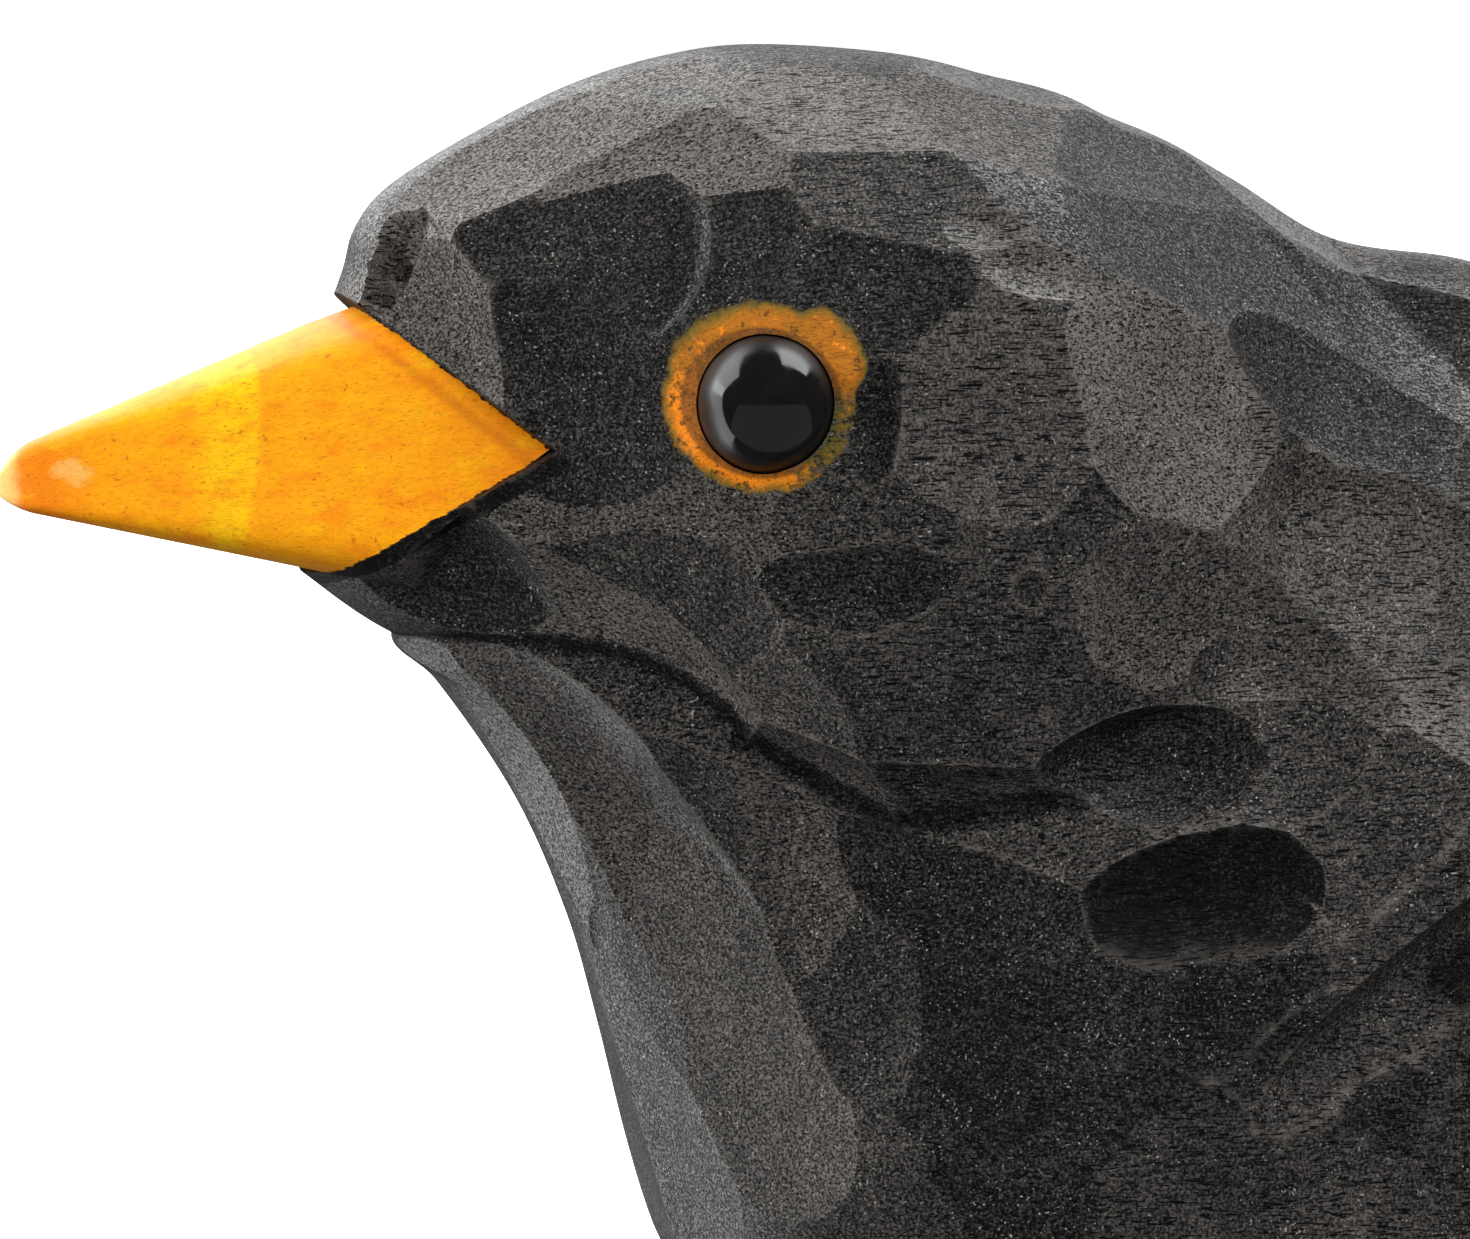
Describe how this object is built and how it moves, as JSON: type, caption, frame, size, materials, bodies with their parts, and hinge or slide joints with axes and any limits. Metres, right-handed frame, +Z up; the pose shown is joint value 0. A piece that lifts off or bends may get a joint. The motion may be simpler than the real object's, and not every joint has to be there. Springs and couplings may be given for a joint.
{
  "type": "bird carving bust",
  "caption": "Bust of a hand-carved, knife-faceted blackbird in stained wood, with an orange beak and glass bead eyes, on a flat underside.",
  "frame": {"origin": "middle of the flat underside", "axes": "+Z up, -X towards the beak, -Y towards the bird's left side"},
  "size_m": [0.0765, 0.0356, 0.0553],
  "materials": {
    "stained_wood": "thin black stain over knife-cut light wood, dry and matt, rubbed lighter on the ridges; beak stained orange, a painted orange ring round each eye",
    "bead_glass": "polished black glass bead"
  },
  "bodies": {
    "root": {"carved_bird": "stained_wood", "left_bead_eye": "bead_glass", "right_bead_eye": "bead_glass"}
  },
  "joints": []
}
